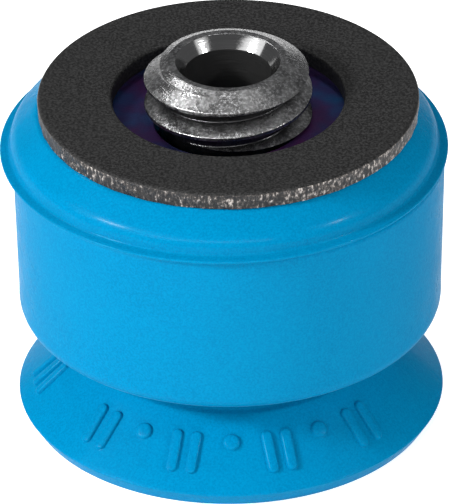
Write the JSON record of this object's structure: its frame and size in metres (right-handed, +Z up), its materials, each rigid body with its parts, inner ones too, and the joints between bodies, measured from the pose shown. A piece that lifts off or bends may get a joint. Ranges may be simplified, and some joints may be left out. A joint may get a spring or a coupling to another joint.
{
  "type": "vacuum suction cup",
  "caption": "Blue bellows vacuum suction cup with a flared sealing lip, a black support washer and a short hollow threaded screw with a through bore.",
  "frame": {"origin": "on the cup's axis, in the plane that the sealing lip touches", "axes": "+Z up the cup's axis, out through the threaded end; -Y towards the raised marks on the lip"},
  "size_m": [0.0157, 0.0158, 0.0138],
  "materials": {
    "screw_steel": "bright turned steel",
    "black_washer": "matt black, bare sheared edge",
    "cup_rubber": "satin moulded polyurethane"
  },
  "bodies": {
    "mount": {"hollow_screw": "screw_steel", "support_washer": "black_washer", "cup_hub": "cup_rubber"},
    "wall_top": {"upper_wall": "cup_rubber"},
    "wall_bottom": {"lower_wall": "cup_rubber"},
    "lip": {"bellows_fold": "cup_rubber", "sealing_lip": "cup_rubber"}
  },
  "joints": [
    {"name": "lip_tilt_x", "type": "hinge", "parent": "mount", "child": "wall_top", "pos_m": [0, 0, 0.007], "axis": [1, 0, 0], "range_deg": [-7, 7], "stiffness_Nm_per_rad": 0.03, "deforming": ["upper_wall"]},
    {"name": "lip_tilt_y", "type": "hinge", "parent": "wall_top", "child": "wall_bottom", "pos_m": [0, 0, 0.007], "axis": [0, 1, 0], "range_deg": [-7, 7], "stiffness_Nm_per_rad": 0.03},
    {"name": "bellows_stroke", "type": "slide", "parent": "wall_bottom", "child": "lip", "axis": [0, 0, 1], "range_m": [0, 0.0024], "stiffness_N_per_m": 800, "deforming": ["bellows_fold"]}
  ]
}
